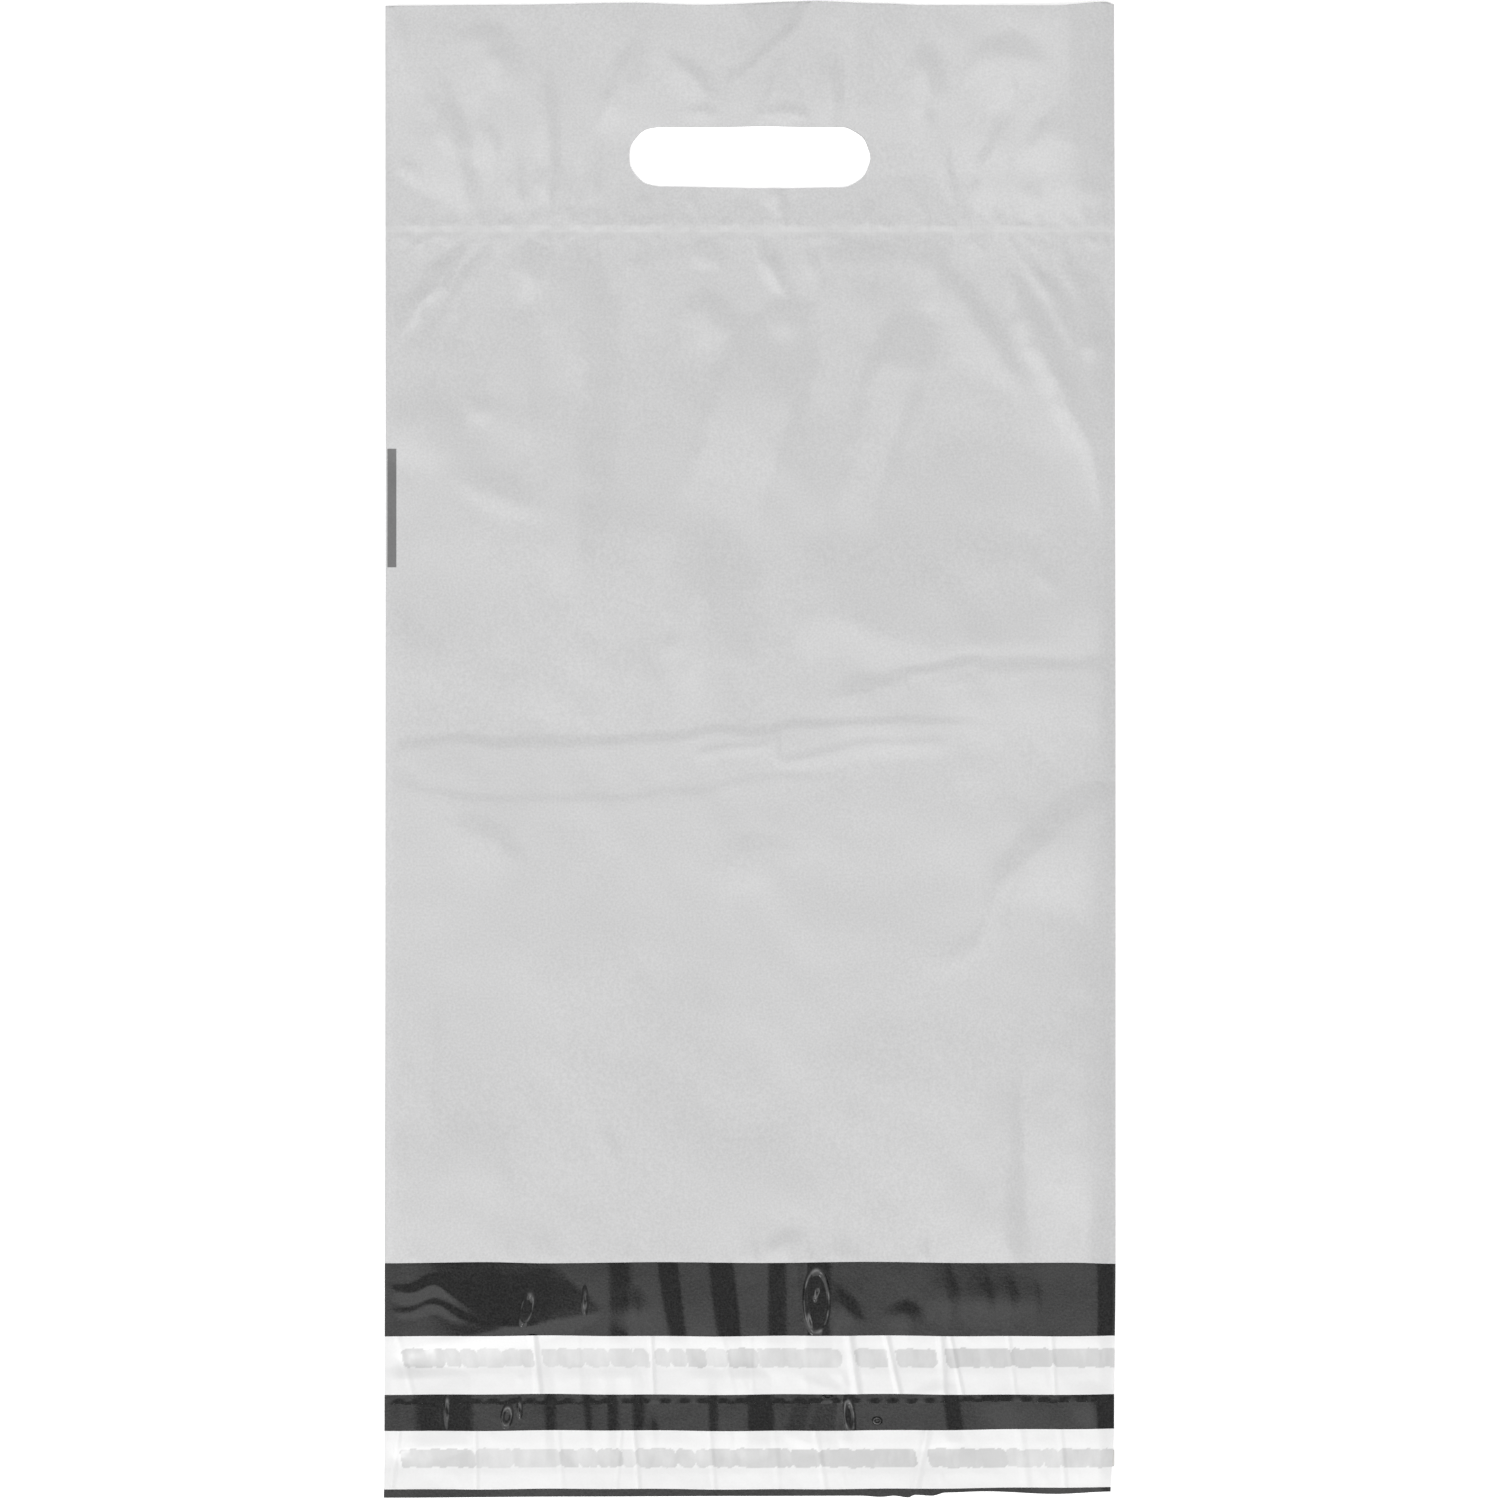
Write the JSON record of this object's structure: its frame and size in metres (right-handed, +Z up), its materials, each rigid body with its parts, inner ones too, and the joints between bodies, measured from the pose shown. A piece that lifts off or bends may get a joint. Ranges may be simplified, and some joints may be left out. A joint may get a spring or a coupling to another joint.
{
  "type": "poly mailer bag",
  "caption": "Flat film mailing bag with a punched hand slot, an open pocket and a flap with adhesive closures under release liners and a tear line.",
  "frame": {"origin": "on the resting surface, under the middle of the bag with its flap folded out", "axes": "+Z up through the front panel, +Y along the bag from the flap to the handle end, +X to the right seen from above with the handle end at the top"},
  "size_m": [0.25, 0.511, 0.0057],
  "materials": {
    "film": "satin silver-grey outside, glossy black inside",
    "adhesive": "tacky translucent hot melt",
    "release_liner": "glossy white translucent film"
  },
  "bodies": {
    "root": {"bag_film": "film", "adhesive_send": "adhesive", "adhesive_return": "adhesive", "release_liner_send": "release_liner", "release_liner_return": "release_liner"}
  },
  "joints": []
}
